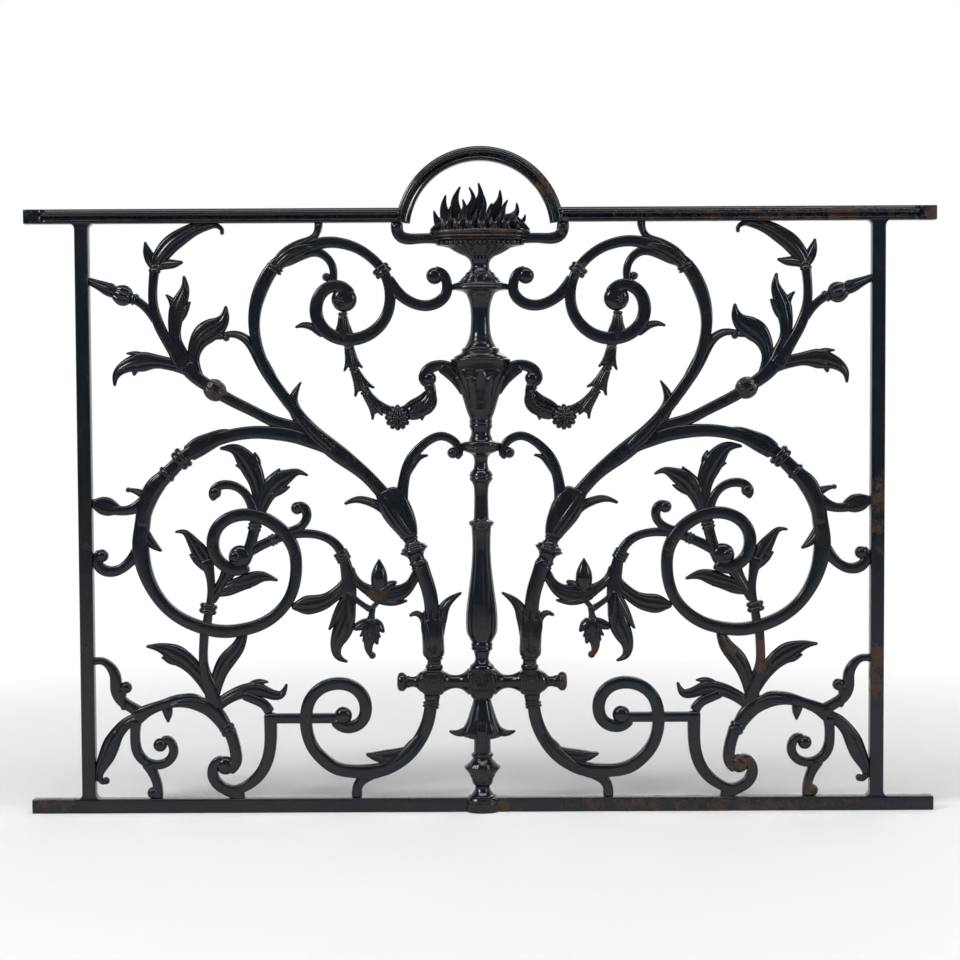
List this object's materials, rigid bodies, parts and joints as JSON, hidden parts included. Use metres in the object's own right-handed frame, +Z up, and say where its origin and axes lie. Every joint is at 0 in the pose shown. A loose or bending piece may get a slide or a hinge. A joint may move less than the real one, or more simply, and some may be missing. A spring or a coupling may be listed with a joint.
{
  "type": "ornate cast iron railing panel",
  "caption": "Rectangular cast iron railing panel of leafy scrolls around a central baluster, with a flame bowl under a small arch in its top rail.",
  "frame": {"origin": "middle of the bottom rail's flat underside", "axes": "+Z up, +X along the rails to the viewer's right, -Y out of the face shown in the picture"},
  "size_m": [1.266, 0.06, 0.9299],
  "materials": {
    "painted_iron": "old gloss black paint on cast iron, worn bright along the edges and rusting in patches"
  },
  "bodies": {
    "root": {"arch_rail": "painted_iron", "baluster": "painted_iron", "baluster_bead": "painted_iron", "baluster_neck": "painted_iron", "bottom_rail": "painted_iron", "bowl_bracket_left": "painted_iron", "bowl_bracket_right": "painted_iron", "bowl_pedestal": "painted_iron", "centre_boss": "painted_iron", "corner_spray_left": "painted_iron", "corner_spray_right": "painted_iron", "cross_arm_left": "painted_iron", "cross_arm_right": "painted_iron", "flame_bowl": "painted_iron", "flames": "painted_iron", "flower_cluster_left": "painted_iron", "flower_cluster_right": "painted_iron", "foot_collar": "painted_iron", "foot_scroll_left": "painted_iron", "foot_scroll_right": "painted_iron", "garland_left": "painted_iron", "garland_right": "painted_iron", "great_scroll_left": "painted_iron", "great_scroll_right": "painted_iron", "leaf_skirt": "painted_iron", "leaf_vase": "painted_iron", "lower_scroll_left": "painted_iron", "lower_scroll_right": "painted_iron", "spiral_spray_left": "painted_iron", "spiral_spray_right": "painted_iron", "stile_left": "painted_iron", "stile_right": "painted_iron", "top_rail_left": "painted_iron", "top_rail_right": "painted_iron", "trunk_left": "painted_iron", "trunk_right": "painted_iron", "turned_foot": "painted_iron", "upper_branch_left": "painted_iron", "upper_branch_right": "painted_iron", "upper_scroll_left": "painted_iron", "upper_scroll_right": "painted_iron", "upper_shaft": "painted_iron", "urn_scroll_left": "painted_iron", "urn_scroll_right": "painted_iron", "vase_cover": "painted_iron", "vase_foot": "painted_iron"}
  },
  "joints": []
}
